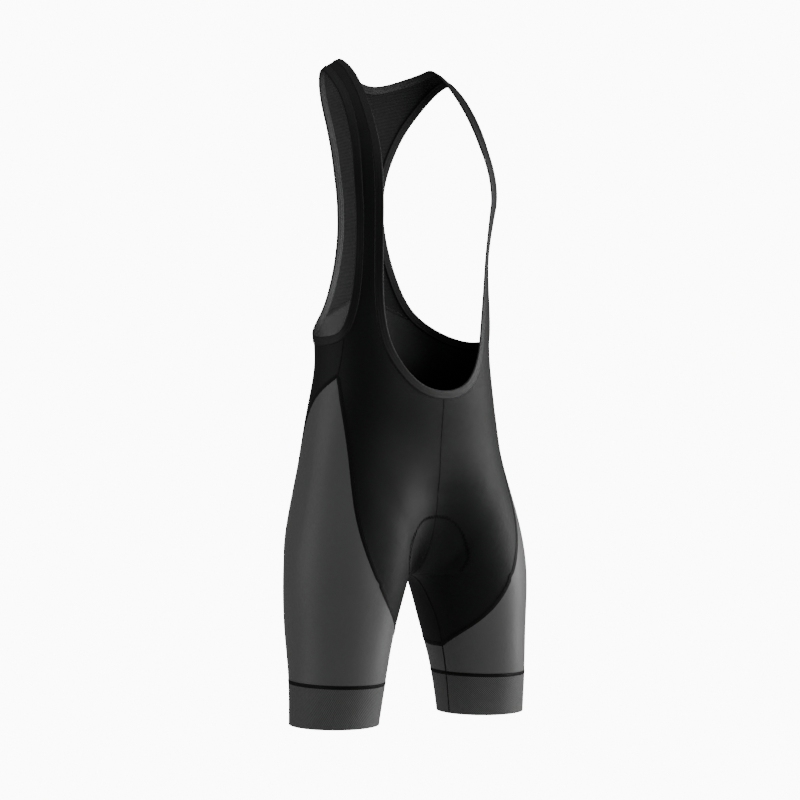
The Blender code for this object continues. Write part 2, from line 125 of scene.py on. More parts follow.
floor_height = cad_box[0][2] - FLOOR_DROP
floor_mesh = bpy.data.meshes.new("Floor")
floor_corners = [
    (x * FLOOR_HALF, y * FLOOR_HALF, floor_height) for x, y in ((-1, -1), (1, -1), (1, 1), (-1, 1))
]
floor_mesh.from_pydata(floor_corners, [], [(0, 1, 2, 3)])
floor = bpy.data.objects.new("Floor", floor_mesh)
bpy.context.scene.collection.objects.link(floor)
pale = bpy.data.materials.new("Pale_floor")
pale.use_nodes = True
pale.node_tree.nodes["Principled BSDF"].inputs["Base Color"].default_value = (0.9, 0.9, 0.9, 1)
pale.node_tree.nodes["Principled BSDF"].inputs["Roughness"].default_value = 0.8
floor_mesh.materials.append(pale)

# ---- The front --------------------------------------------------------------------------------------
# Two long panels of black lycra, sewn together down the front centre, each running from the inside of
# the thigh up over the belly and on as one shoulder strap.  Everything here lies on one form: a smooth
# union of a torso and two legs under a shoulder dome.

MM = 0.001
PANEL_WALL = 0.8 * MM
BINDING_WIDTH = 11.5 * MM
CHEST = -0.190          # where the shoulder dome starts
DOME_RISE = 0.2035      # from the chest to the dome's top
DOME_HALF_WIDTH = 0.1905
DOME_POWERS = (3.0, 1.514, 1.494)  # across, front to back, up
DOME_LEAN = 0.038       # how far back the dome's top lies
DOME_LEAN_POWER = 1.313
ARC = 0.12              # metres of level for each radian over the shoulder
TORSO_BOTTOM = -0.56    # where the torso starts to round off under the body
TORSO_ROUND = 0.12
LEG_BLEND = 0.016
SPLIT_TOP = -0.50       # where the middle of each half starts to move out into its leg
INSEAM_TURN = np.radians(8.0)
INSEAM_TURN_DEPTH = 0.06
FORK_SEARCH = (-0.80, -0.55)

# height, half width, depth in front, depth behind, squareness
TORSO = np.array([
    (-0.190, 0.1321, 0.1106, 0.0996, 2.3),
    (-0.270, 0.1180, 0.1050, 0.0940, 2.3),
    (-0.345, 0.1260, 0.0904, 0.0891, 2.3),
    (-0.400, 0.1230, 0.0909, 0.0832, 2.3),
    (-0.460, 0.1273, 0.0960, 0.0902, 2.3),
    (-0.520, 0.1335, 0.0856, 0.0971, 2.3),
    (-0.580, 0.1401, 0.0696, 0.1021, 2.2),
])
# height, centre from the middle, half width, depth in front, depth behind
LEG = np.array([
    (-0.190, 0.0500, 0.0300, 0.0300, 0.0300),
    (-0.345, 0.0476, 0.0294, 0.0299, 0.0298),
    (-0.460, 0.0545, 0.0590, 0.0492, 0.0509),
    (-0.540, 0.0603, 0.0754, 0.0748, 0.0876),
    (-0.600, 0.0798, 0.0786, 0.0859, 0.1009),
    (-0.680, 0.0977, 0.0785, 0.0924, 0.0905),
    (-0.760, 0.1091, 0.0652, 0.0828, 0.0893),
    (-0.820, 0.1149, 0.0588, 0.0750, 0.0734),
    (-0.880, 0.1195, 0.0577, 0.0607, 0.0610),
])
# height, the middle of the body front to back
AXIS = np.array([
    (-0.190, -0.0260),
    (-0.345, -0.0285),
    (-0.420, -0.0312),
    (-0.500, -0.0296),
    (-0.580, -0.0382),
    (-0.660, -0.0402),
    (-0.740, -0.0432),
    (-0.880, -0.0459),
])

# The finished edge of the neck opening on one side, in mm: across, back, up
NECK_EDGE = MM * np.array([
    (0, -127, -445),    # front centre
    (36, -124, -435),
    (58, -116, -411),
    (72, -109, -382),   # where the row from the side seam's top meets the neck
    (78, -105, -350),
    (82, -106, -290),
    (85, -111, -230),
    (87, -114, -185),
    (84, -104, -137),
    (81, -80, -84),
    (77, -44, -34),
    (74, -5, -3),       # top of the strap
    (69, 19, 2),        # shoulder seam
    (50, 32, -6),
    (27, 39, -15),
    (0, 42, -20),       # back centre
])
NECK_MARKS = {"front": 0, "armpit": 3, "shoulder": 12, "back": 15}
# The finished edge of the armhole, all round
ARMHOLE_EDGE = MM * np.array([
    (101, 20, -21),     # shoulder seam
    (107, 6, -15),
    (109, -20, -31),
    (109, -42, -55),
    (111, -62, -88),
    (114, -78, -127),
    (115, -86, -165),
    (112, -86, -200),
    (108, -81, -235),
    (106, -77, -270),
    (108, -76, -300),
    (113, -75, -328),
    (118, -71, -350),
    (122, -61, -368),   # side seam
    (127, -37, -374),
    (127, -12, -373),
    (115, 16, -365),
    (98, 35, -352),
    (77, 48, -332),     # arch seam
    (57, 57, -294),
    (45, 62, -254),
    (39, 68, -210),
    (41, 71, -160),
    (51, 66, -118),
    (66, 56, -80),
    (86, 40, -45),
])
ARM_MARKS = {"shoulder": 0, "side": 13, "arch": 18}
ARCH_TOP = (0.0, 0.066, -0.307)        # the arch seam at the back centre
SIDE_MEET = (0.1225, -0.0605, -0.426)  # where side seam and leg seams meet
# The seam between the front and a leg: around, height
FRONT_LEG_SEAM = np.array([
    (0.000, -0.787),
    (0.110, -0.766),
    (0.180, -0.745),
    (0.235, -0.718),
    (0.268, -0.682),
    (0.305, -0.645),
    (0.343, -0.605),
    (0.365, -0.560),
    (0.370, -0.510),
    (0.384, -0.465),
])
# The seam between the seat and a leg: around, height
SEAT_LEG_SEAM = np.array([
    (0.465, -0.436),
    (0.507, -0.448),
    (0.550, -0.468),
    (0.590, -0.505),
    (0.615, -0.550),
    (0.635, -0.610),
    (0.660, -0.670),
    (0.700, -0.725),
    (0.760, -0.765),
    (0.850, -0.784),
    (1.000, -0.787),
])
BACK_WAIST = -0.520     # where the row from the side seam's top meets the back centre
CUFF_TOP = -0.826
HEM = -0.881

# The number of faces along and across the pieces
ACROSS = 24
RISE_STEPS, BELLY_STEPS, STRAP_STEPS = 36, 27, 64
SIDE_STEPS = 8
SEAT_STEPS, ARM_BACK_STEPS = 56, 24
FORK_CROWD, INSEAM_CROWD = 1.25, 1.6  # how much rows and columns crowd towards the fork
YOKE_STEPS, BACK_NECK_STEPS = 36, 24
LEG_STEPS = 28


def spline(knots, values, at):
    """A natural cubic spline through the rows of values, held level past its ends."""
    order = np.argsort(knots)
    knots, values = np.asarray(knots)[order], np.asarray(values)[order]
    gaps = np.diff(knots)
    rows = len(knots)
    matrix = np.eye(rows)
    right = np.zeros_like(values)
    inner = np.arange(1, rows - 1)
    matrix[inner, inner - 1] = gaps[:-1]
    matrix[inner, inner] = 2 * (gaps[:-1] + gaps[1:])
    matrix[inner, inner + 1] = gaps[1:]
    slopes = np.diff(values, axis=0) / gaps[:, None]
    right[1:-1] = 6 * np.diff(slopes, axis=0)
    bend = np.linalg.solve(matrix, right)
    at = np.clip(at, knots[0], knots[-1])
    i = np.clip(np.searchsorted(knots, at, side="right") - 1, 0, rows - 2)
    gap = gaps[i][..., None]
    past = (at - knots[i])[..., None]
    left = gap - past
    return (
        (bend[i] * left**3 + bend[i + 1] * past**3) / (6 * gap)
        + (values[i] / gap - bend[i] * gap / 6) * left
        + (values[i + 1] / gap - bend[i + 1] * gap / 6) * past
    )


def smooth_step(t):
    """0 to 1 with level ends."""
    t = np.clip(t, 0, 1)
    return t * t * (3 - 2 * t)


def middle_back(height):
    """Where the middle of the body lies front to back."""
    return spline(AXIS[:, 0], AXIS[:, 1:], np.minimum(height, CHEST))[..., 0]


def trunk_field(x, y, z):
    """Below 0 inside the torso and legs: each a superellipse, joined by a smooth minimum."""
    width, front, behind, power = np.moveaxis(spline(TORSO[:, 0], TORSO[:, 1:], z), -1, 0)
    centre, leg_width, leg_front, leg_behind = np.moveaxis(spline(LEG[:, 0], LEG[:, 1:], z), -1, 0)
    back = y - middle_back(z)
    depth = np.where(back < 0, front, behind)
    radius = ((np.abs(x) / width) ** power + (np.abs(back) / depth) ** power) ** (1 / power)
    under = np.clip((TORSO_BOTTOM - z) / TORSO_ROUND, 0, None)
    total = np.exp(-(np.hypot(radius, under) - 1) * 0.5 * (width + depth) / LEG_BLEND)
    leg_depth = np.where(back < 0, leg_front, leg_behind)
    for side in (1, -1):
        radius = np.hypot((side * x - centre) / leg_width, back / leg_depth)
        total = total + np.exp(-(radius - 1) * 0.5 * (leg_width + leg_depth) / LEG_BLEND)
    return -LEG_BLEND * np.log(total)


def dome_field(x, y, z):
    """Below 0 inside the shoulder dome, whose sections turn from the chest's to fuller ones upwards."""
    width, front, behind, power = spline(TORSO[:, 0], TORSO[:, 1:], np.array(CHEST))
    up = np.clip((z - CHEST) / DOME_RISE, 0, None)
    mix = smooth_step(up / 0.4)
    back = y - middle_back(np.array(CHEST)) - DOME_LEAN * up**DOME_LEAN_POWER
    half = width + (DOME_HALF_WIDTH - width) * np.clip(up, 0, 1)
    depth = np.where(back < 0, front, behind)
    across, deep, high = DOME_POWERS
    return (
        (np.abs(x) / half) ** (power + (across - power) * mix)
        + (np.abs(back) / depth) ** (power + (deep - power) * mix)
        + up**high
        - 1
    )


def field(x, y, z):
    """Below 0 inside the garment's form."""
    low = trunk_field(x, y, np.minimum(z, CHEST))
    return np.where(z > CHEST, dome_field(x, y, np.maximum(z, CHEST)), low)


def find_fork():
    """The height of the crotch: the lowest point of the torso between the legs."""
    low, high = FORK_SEARCH
    for _ in range(50):
        height = np.array((low + high) / 2)
        if field(np.array(0.0), middle_back(height), height) > 0:
            low = float(height)
        else:
            high = float(height)
    return high


FORK = find_fork()


def middle_across(level):
    """The middle of one half: 0 on the body, moving out to the middle of the leg."""
    out = smooth_step((SPLIT_TOP - level) / (SPLIT_TOP - FORK))
    return out * spline(LEG[:, 0], LEG[:, 1:2], level)[..., 0]


def turn_ends(level):
    """The directions of around 0 and around 1, seen from the middle of one half."""
    centre, middle = middle_across(level), middle_back(level)
    ends = []
    for sign in (-1, 1):
        near, far = np.zeros_like(level), np.full_like(level, 0.3)
        for _ in range(40):
            reach = (near + far) / 2
            out = trunk_field(np.zeros_like(level), middle + sign * reach, level) > 0
            near, far = np.where(out, near, reach), np.where(out, reach, far)
        ends.append(np.where(level > FORK, near, 0))
    start = np.arctan2(-centre, ends[0])
    stop = 2 * np.pi + np.arctan2(-centre, -ends[1])
    stop = np.where(centre < 1e-9, np.pi, stop)
    turn = INSEAM_TURN * np.clip((FORK - level) / INSEAM_TURN_DEPTH, 0, 1)
    return start + turn, stop + turn


def on_form(place):
    """The points of the form at places (around, level), found along rays from the middle."""
    around, level = np.asarray(place, float)[..., 0], np.asarray(place, float)[..., 1]
    low = np.minimum(level, CHEST)
    centre, middle = middle_across(low), middle_back(low)
    start, stop = turn_ends(low)
    angle = start + (stop - start) * around
    rise = np.clip((level - CHEST) / ARC, 0, np.pi / 2)
    step = np.stack([np.sin(angle) * np.cos(rise), -np.cos(angle) * np.cos(rise), np.sin(rise)], -1)
    origin = np.stack([centre, middle, low], -1)
    inward = np.maximum(-step[..., 0], 1e-6)
    near, far = np.zeros_like(around), np.minimum(np.where(step[..., 0] < -1e-6, centre / inward, 0.5), 0.5)
    for _ in range(34):
        reach = (near + far) / 2
        x, y, z = np.moveaxis(origin + reach[..., None] * step, -1, 0)
        out = field(x, y, np.where(level > CHEST, z, low)) > 0
        near, far = np.where(out, near, reach), np.where(out, reach, far)
    return origin + near[..., None] * step


def place_of(points):
    """The places (around, level) of points on or near the form."""
    points = np.asarray(points, float)
    low = np.minimum(points[..., 2], CHEST)
    start, stop = turn_ends(low)
    x, y = points[..., 0] - middle_across(low), points[..., 1] - middle_back(low)
    angle = np.arctan2(x, -y)
    angle = np.where(angle < start - 1e-6, angle + 2 * np.pi, angle)
    rise = np.arctan2(np.maximum(points[..., 2] - CHEST, 0), np.hypot(x, y))
    return np.stack([(angle - start) / (stop - start), low + rise * ARC], -1)


def normals(points):
    """The outward direction of the form at points: the slope of its field."""
    step = 1e-5
    slope = []
    for axis in np.eye(3):
        ahead, behind = points + step * axis, points - step * axis
        slope.append(field(*np.moveaxis(ahead, -1, 0)) - field(*np.moveaxis(behind, -1, 0)))
    slope = np.stack(slope, -1)
    slope[..., 0] = np.where(np.abs(points[..., 0]) < 1e-6, 0, slope[..., 0])
    return slope / np.linalg.norm(slope, axis=-1, keepdims=True)


def length_along(points):
    """The distance along a row of points, from its first."""
    steps = np.linalg.norm(np.diff(points, axis=0), axis=1)
    return np.concatenate([[0], np.cumsum(steps)])


def evenly(places, steps, crowd=1.0):
    """Places along a fine row, spaced evenly on the form, or crowded at its start by a power."""
    along = length_along(on_form(places))
    even = along[-1] * np.linspace(0, 1, steps + 1) ** crowd
    return np.stack([np.interp(even, along, places[:, 0]), np.interp(even, along, places[:, 1])], -1)


def edge_curve(rows, closed):
    """A fine smooth curve on the form through an edge's rows, and the rows' places along it."""
    if closed:
        around = np.vstack([rows[-3:], rows, rows[:4]])
    else:
        mirror = rows * (-1, 1, 1)
        around = np.vstack([mirror[3:0:-1], rows, mirror[-2:-5:-1]])
    along = length_along(around)
    count = len(rows) + (1 if closed else 0)
    marks = along[3:3 + count]
    fine = np.concatenate([
        np.linspace(a, b, 12, endpoint=False) for a, b in zip(marks[:-1], marks[1:])
    ] + [marks[-1:]])
    curve = spline(along, around, fine)
    curve[..., 0] = np.maximum(curve[..., 0], 0)
    return on_form(place_of(curve)), 12 * np.arange(count)


def moved_into_cloth(curve, distance, side, closed):
    """A curve moved along the form, square to itself; side is 1 where the cloth lies to its left."""
    if closed:
        ahead = np.roll(curve[:-1], -1, axis=0) - np.roll(curve[:-1], 1, axis=0)
        ahead = np.vstack([ahead, ahead[:1]])
    else:
        ahead = np.gradient(curve, axis=0)
        ahead[[0, -1], 1:] = 0
        ahead[[0, -1], 0] = (1, -1)
    inward = side * np.cross(normals(curve), ahead)
    inward /= np.linalg.norm(inward, axis=1, keepdims=True)
    moved = curve + distance * inward
    moved[..., 0] = np.maximum(moved[..., 0], 0)
    return on_form(place_of(moved))


def patch(left, right, bottom, top):
    """Places inside four rows of places that meet at their ends, by Coons' formula."""
    s = np.linspace(0, 1, len(bottom))[None, :, None]
    t = np.linspace(0, 1, len(left))[:, None, None]
    across = (1 - s) * left[:, None] + s * right[:, None]
    along = (1 - t) * bottom[None] + t * top[None]
    corners = (
        (1 - s) * (1 - t) * left[0] + s * (1 - t) * right[0] + (1 - s) * t * left[-1] + s * t * right[-1]
    )
    return across + along - corners


def straight(start, stop, steps, crowd=1.0):
    """Places on the straight run between two places, evenly spaced or crowded at its start."""
    return evenly(start + np.linspace(0, 1, 60)[:, None] * (np.asarray(stop) - start), steps, crowd)


def joined(*rows):
    """Rows of places end to end, each starting where the last stops."""
    return np.vstack([rows[0]] + [row[1:] for row in rows[1:]])


def stretch(curve, marks, first, last, steps):
    """The places of one stretch of an edge curve, evenly spaced."""
    return evenly(place_of(curve[marks[first]:marks[last] + 1]), steps)


def seam(rows, steps):
    """Places along a smooth seam through rows of (around, height), evenly spaced."""
    along = length_along(on_form(rows))
    return evenly(spline(along, rows, np.linspace(0, along[-1], 120)), steps)


neck, neck_rows = edge_curve(NECK_EDGE, False)
neck_in = moved_into_cloth(neck, BINDING_WIDTH, -1, False)
arm, arm_rows = edge_curve(ARMHOLE_EDGE, True)
arm_in = moved_into_cloth(arm, BINDING_WIDTH, -1, True)
neck_at = [neck_rows[NECK_MARKS[name]] for name in ("front", "armpit", "shoulder", "back")]
arm_at = [arm_rows[ARM_MARKS[name]] for name in ("shoulder", "side", "arch")] + [arm_rows[-1]]

side_top = place_of(arm_in[arm_at[1]])
side_meet = place_of(SIDE_MEET)
fork = np.array([0.0, FORK])
inseam_top = np.array([0.0, FRONT_LEG_SEAM[0, 1]])
neck_front = place_of(neck_in[0])


def eased(places, rounds=500):
    """A seam's places with its bends eased out, the ends kept."""
    points = on_form(evenly(places, 120))
    for _ in range(rounds):
        points[1:-1] = (points[:-2] + 2 * points[1:-1] + points[2:]) / 4
    return place_of(points)


front_seam = evenly(eased(seam(np.vstack([FRONT_LEG_SEAM, side_meet]), SEAT_STEPS)), SEAT_STEPS)
seat_seam = seam(np.vstack([side_meet, SEAT_LEG_SEAM]), SEAT_STEPS)
side_seam = straight(side_meet, side_top, SIDE_STEPS)
rise = straight(fork, neck_front, RISE_STEPS, FORK_CROWD)
arm_front = place_of(arm_in[:arm_at[1] + 1])[::-1]
strap = stretch(neck_in, neck_at, 1, 2, STRAP_STEPS)
shoulder = straight(strap[-1], arm_front[-1], ACROSS)

# Soft creases, in world metres: x, y, z of the middle, the way it runs, half length, half width, depth
CREASES = np.array([
    (0.050, -0.115, -0.640, 0.60, -0.10, 0.79, 0.050, 0.0100, -0.0016),
    (0.075, -0.112, -0.600, 0.45, -0.05, 0.89, 0.055, 0.0120, -0.0012),
    (0.030, -0.100, -0.672, 0.75, 0.10, 0.65, 0.032, 0.0070, -0.0012),
    (0.115, -0.070, -0.440, 0.90, 0.30, -0.20, 0.040, 0.0090, -0.0010),
    (0.060, 0.055, -0.640, 0.70, -0.30, 0.64, 0.050, 0.0110, -0.0016),
    (0.085, 0.050, -0.690, 0.85, -0.20, 0.45, 0.045, 0.0100, -0.0012),
    (0.120, -0.040, -0.725, 0.30, 0.90, 0.25, 0.050, 0.0140, -0.0010),
    (0.070, -0.040, -0.745, 0.10, 0.95, 0.20, 0.045, 0.0080, -0.0012),
    (0.078, -0.020, -0.018, -0.30, 0.90, 0.30, 0.016, 0.0030, -0.0012),
    (0.088, -0.022, -0.022, -0.20, 0.95, 0.25, 0.018, 0.0032, 0.0010),
    (0.097, -0.020, -0.026, -0.25, 0.92, 0.28, 0.014, 0.0030, -0.0010),
])


def creased(points):
    """Points moved along the form's normals by the creases: each is a trough or ridge whose depth falls
    off as a bell curve along and across it."""
    outward = normals(points)
    depth = np.zeros(points.shape[:-1])
    for row in CREASES:
        middle, way, (reach, breadth, deep) = row[:3], row[3:6] / np.linalg.norm(row[3:6]), row[6:]
        away_from = points - middle
        along = away_from @ way
        across_square = np.sum(away_from**2, axis=-1) - along**2
        depth += deep * np.exp(-((along / reach) ** 2) - across_square / breadth**2)
    return points + depth[..., None] * outward


def grid_faces(rows, columns):
    """The faces of a grid of points."""
    corner = (np.arange(rows - 1)[:, None] * columns + np.arange(columns - 1)).ravel()
    return np.stack([corner, corner + 1, corner + columns + 1, corner + columns], -1)


def grid_cloth(points):
    """Each point's distance across and along the cloth, in metres, for the patterns that follow it."""
    across = np.linalg.norm(np.diff(points, axis=1), axis=2).cumsum(1)
    along = np.linalg.norm(np.diff(points, axis=0), axis=2).cumsum(0)
    across = np.pad(across, ((0, 0), (1, 0)))
    along = np.pad(along, ((1, 0), (0, 0)))
    return np.stack([across, along], -1).reshape(-1, 2)


def meshed(name, points, faces, cloth, look, side=1):
    """A smooth-shaded mesh with its cloth distances as a UV map; side -1 mirrors it to the right."""
    if side < 0:
        points, faces = points * (-1, 1, 1), faces[:, ::-1]
    mesh = bpy.data.meshes.new(name)
    mesh.from_pydata(points.tolist(), [], faces.tolist())
    layer = mesh.uv_layers.new(name="Cloth")
    layer.data.foreach_set("uv", cloth[faces.ravel()].astype(np.float32).ravel())
    mesh.shade_smooth()
    mesh.set_sharp_from_angle(angle=np.radians(50))
    mesh.materials.append(look)
    made = bpy.data.objects.new(name, mesh)
    bpy.context.scene.collection.objects.link(made)
    return made


def shell(name, points, faces, cloth, wall, look, side=1):
    """A thin wall along a surface, square to the form, with its rim closed."""
    outward = normals(points)
    first, second = (points[faces[:, k]] - points[faces[:, 0]] for k in (1, 2))
    if np.sum(np.cross(first, second) * outward[faces[:, 0]]) < 0:
        faces = faces[:, ::-1]
    points = creased(points)
    count = len(points)
    starts, stops = faces.ravel(), np.roll(faces, -1, axis=1).ravel()
    border = ~np.isin(starts * count + stops, stops * count + starts)
    starts, stops = starts[border], stops[border]
    rim = np.stack([stops, starts, starts + count, stops + count], -1)
    walls = np.vstack([points + wall / 2 * outward, points - wall / 2 * outward])
    faces = np.vstack([faces, faces[:, ::-1] + count, rim])
    return meshed(name, walls, faces, np.vstack([cloth, cloth]), look, side)


def panel(name, node, places, wall, look, side):
    """A cut panel from its grid of places, lying stretched over the wearer's shape."""
    points = on_form(places)
    faces = grid_faces(*points.shape[:2])
    made = shell(name, points.reshape(-1, 3), faces, grid_cloth(points), wall, look, side)
    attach(made, "root")
    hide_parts(node)


class Value:
    """A number in a material, on which Python's operators add Math nodes."""

    def __init__(self, look, socket):
        self.look, self.socket = look, socket

    def math(self, kind, *others):
        return self.look.node("ShaderNodeMath", {"operation": kind}, {0: self, **dict(enumerate(others, 1))})

    def __add__(self, other):
        return self.math("ADD", other)

    def __mul__(self, other):
        return self.math("MULTIPLY", other)

    def __sub__(self, other):
        return self.math("SUBTRACT", other)

    def __rsub__(self, other):
        return self.look.node("ShaderNodeMath", {"operation": "SUBTRACT"}, {0: other, 1: self})

    __radd__, __rmul__ = __add__, __mul__


class Look:
    """A material built around one Principled shader."""

    def __init__(self, name, roughness, sheen=0.0, sheen_roughness=0.5, specular=0.5):
        self.material = bpy.data.materials.new(name)
        self.material.use_nodes = True
        self.tree = self.material.node_tree
        self.shader = self.tree.nodes["Principled BSDF"]
        for socket, value in (
            ("Roughness", roughness), ("Sheen Weight", sheen), ("Sheen Roughness", sheen_roughness),
            ("Specular IOR Level", specular),
        ):
            self.shader.inputs[socket].default_value = value

    def node(self, kind, settings, sockets, output=0):
        """A node of a kind with its settings made first, then the values or links of its sockets."""
        made = self.tree.nodes.new(kind)
        for key, value in settings.items():
            setattr(made, key, value)
        for key, value in sockets.items():
            if isinstance(value, Value):
                self.tree.links.new(value.socket, made.inputs[key])
            else:
                made.inputs[key].default_value = value
        return Value(self, made.outputs[output])

    def feed(self, socket, value):
        """A value into one of the shader's sockets."""
        self.tree.links.new(value.socket, self.shader.inputs[socket])

    def object_place(self):
        return self.node("ShaderNodeTexCoord", {}, {}, "Object")

    def cloth_axes(self):
        """The distances across and along the cloth."""
        parts = self.node("ShaderNodeUVMap", {"uv_map": "Cloth"}, {})
        return tuple(self.node("ShaderNodeSeparateXYZ", {}, {0: parts}, k) for k in (0, 1))

    def noise(self, scale, detail=2.0):
        """Cloudy noise from 0 to 1, at so many lumps a metre."""
        return self.node(
            "ShaderNodeTexNoise", {}, {"Vector": self.object_place(), "Scale": scale, "Detail": detail}, 0
        )

    def shade(self, dark, light, amount):
        """Base colour between two shades."""
        mixed = self.node(
            "ShaderNodeMix", {"data_type": "RGBA"}, {0: amount, 6: (*dark, 1), 7: (*light, 1)}, 2
        )
        self.feed("Base Color", mixed)

    def bump(self, height, strength, depth):
        """Fine relief of a height from 0 to 1."""
        self.feed("Normal", self.node(
            "ShaderNodeBump", {}, {"Strength": strength, "Distance": depth, "Height": height}
        ))


def wave(value, pitch):
    """0 to 1 and back once in each pitch."""
    return (value * (2 * np.pi / pitch)).math("SINE") * 0.5 + 0.5


def lycra(name, dark, light, roughness, sheen, specular):
    """Smooth knitted lycra: fine ribs of loops along the cloth, broken by a cloudy grain."""
    look = Look(name, roughness, sheen, 0.4, specular)
    across, along = look.cloth_axes()
    loops = wave(across, 0.9 * MM) * wave(along, 0.7 * MM)
    grain = look.noise(1400.0)
    cloudy = look.noise(9.0, 3.0)
    look.shade(dark, light, grain * 0.5 + cloudy * 0.5)
    look.bump(loops * 0.5 + grain, 0.35, 0.25 * MM)
    look.feed("Roughness", cloudy * 0.12 + (roughness - 0.06))
    return look.material


BLACK_DARK, BLACK_LIGHT = (0.0020, 0.0020, 0.0022), (0.0050, 0.0050, 0.0053)
black = lycra("Black_lycra", BLACK_DARK, BLACK_LIGHT, 0.55, 0.04, 0.26)

front = patch(
    joined(rise, stretch(neck_in, neck_at, 0, 1, BELLY_STEPS + 1), strap),
    joined(front_seam, side_seam, evenly(arm_front, STRAP_STEPS)),
    straight(fork, inseam_top, ACROSS, INSEAM_CROWD),
    shoulder,
)
SIDES = ((1, "left"), (-1, "right"))
for side, word in SIDES:
    panel(
        f"Front_{word}", f"front_{word}", front, PANEL_WALL, black, side,
    )

# ---- The seat and lower back ------------------------------------------------------------------------
# Two black lycra panels sewn together down the back centre; each wraps round to the side seam and down
# over the seat to the inside of the thigh.

back_fork = np.array([1.0, FORK])
arch_middle = place_of(ARCH_TOP)
back_waist = np.array([1.0, BACK_WAIST])
arm_back = stretch(arm_in, arm_at, 1, 2, ARM_BACK_STEPS)
arch = straight(arch_middle, arm_back[-1], ACROSS)
seat_rise = joined(
    straight(back_fork, back_waist, SEAT_STEPS + SIDE_STEPS, FORK_CROWD),
    straight(back_waist, arch_middle, ARM_BACK_STEPS),
)
seat = patch(
    seat_rise,
    joined(seat_seam[::-1], side_seam, arm_back),
    straight(back_fork, inseam_top + (1, 0), ACROSS, INSEAM_CROWD),
    arch,
)
for side, word in SIDES:
    panel(
        f"Back_{word}", f"back_{word}", seat, PANEL_WALL, black, side,
    )

# ---- The legs ---------------------------------------------------------------------------------------
# One grey lycra panel wraps each thigh, with its own seam up the inside and a peak at the side seam.

GREY_DARK, GREY_LIGHT = (0.0900, 0.0900, 0.0910), (0.1400, 0.1400, 0.1410)
grey = lycra("Grey_lycra", GREY_DARK, GREY_LIGHT, 0.48, 0.22, 0.5)

leg_top = joined(front_seam, seat_seam)
half_turn = (1 - (1 - np.linspace(0, 1, SEAT_STEPS + 1)) ** 2) / 2
cuff_around = np.concatenate([half_turn, 1 - half_turn[-2::-1]])
cuff_line = np.stack([cuff_around, np.full_like(cuff_around, CUFF_TOP)], -1)
share = np.linspace(0, 1, LEG_STEPS + 1)[:, None, None]
for side, word in SIDES:
    panel(
        f"Leg_{word}", f"leg_{word}", (1 - share) * cuff_line + share * leg_top, PANEL_WALL,
        grey, side,
    )

# ---- The leg grippers -------------------------------------------------------------------------------
# A wide elastic band round the end of each leg, knitted with a fine diagonal lattice that grips.

CUFF_WALL = 1.3 * MM
LATTICE = 2.6 * MM


def gripper_look():
    """Dark grey elastic with a raised diagonal lattice."""
    look = Look("Gripper", 0.55, 0.15, 0.5, 0.45)
    across, along = look.cloth_axes()
    lattice = wave(across + along, LATTICE) * wave(across - along, LATTICE)
    look.shade((0.030, 0.030, 0.031), (0.240, 0.240, 0.241), lattice * 0.85 + look.noise(900.0) * 0.15)
    look.bump(lattice, 0.6, 0.4 * MM)
    return look.material


gripper = gripper_look()
even_around = np.linspace(0, 1, 145)
band = np.stack(np.meshgrid(np.linspace(HEM, CUFF_TOP, 13), even_around, indexing="ij")[::-1], -1)
for side, word in SIDES:
    panel(
        f"Cuff_{word}", f"cuff_{word}", band, CUFF_WALL, gripper, side,
    )

# ---- The mesh back ----------------------------------------------------------------------------------
# One airy ribbed piece from the arch seam up through the narrow racerback to both shoulder seams.

MESH_WALL = 0.6 * MM
RIB = 1.9 * MM


def mesh_look():
    """Charcoal warp knit with fine level ribs and small holes between them."""
    look = Look("Rib_mesh", 0.6, 0.0, 0.5, 0.15)
    x, z = (look.node("ShaderNodeSeparateXYZ", {}, {0: look.object_place()}, k) for k in (0, 2))
    ribs = wave(z, RIB)
    holes = ribs * wave(x, 1.6 * MM)
    look.shade((0.002, 0.002, 0.002), (0.022, 0.022, 0.023), ribs * 0.8 + holes * 0.2)
    look.bump(ribs + holes * 0.5, 0.5, 0.35 * MM)
    return look.material


neck_middle = place_of(neck_in[-1])
yoke = patch(
    joined(
        straight(arch_middle, neck_middle, YOKE_STEPS),
        stretch(neck_in, neck_at, 2, 3, BACK_NECK_STEPS)[::-1],
    ),
    stretch(arm_in, arm_at, 2, 3, YOKE_STEPS + BACK_NECK_STEPS),
    arch,
    shoulder,
)


def both_sides(points, faces, cloth):
    """A half piece and its mirror image made one, with the points on the middle shared."""
    points[np.abs(points[:, 0]) < 1e-5, 0] = 0
    middle = points[:, 0] == 0
    twin = np.where(middle, np.arange(len(points)), len(points) + np.cumsum(~middle) - 1)
    return (
        np.vstack([points, points[~middle] * (-1, 1, 1)]),
        np.vstack([faces, twin[faces][:, ::-1]]),
        np.vstack([cloth, cloth[~middle]]),
    )


yoke_points = on_form(yoke)
mesh_back = shell(
    "Back_mesh",
    *both_sides(yoke_points.reshape(-1, 3), grid_faces(*yoke_points.shape[:2]), grid_cloth(yoke_points)),
    MESH_WALL,
    mesh_look(),
)
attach(mesh_back, "root")
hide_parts("back_mesh")

# ---- The bindings -----------------------------------------------------------------------------------
# Soft elastic folded over the raw edges of the neck and armholes and sewn through twice, which leaves
# three low ridges side by side.

BINDING_HALF = 1.15 * MM   # half the thickness in a groove
RIDGE = 0.45 * MM
RIDGES = 3
BAND_POINTS = 15
BINDING_OVERLAP = 0.8 * MM


def binding_look():
    """Near-black elastic with short crosswise ribs."""
    look = Look("Binding", 0.5, 0.03, 0.5, 0.35)
    across, along = look.cloth_axes()
    ribs = wave(along, 1.1 * MM)
    look.shade((0.0015, 0.0015, 0.0016), (0.006, 0.006, 0.0063), ribs * 0.5 + look.noise(700.0) * 0.5)
    look.bump(ribs, 0.4, 0.25 * MM)
    return look.material


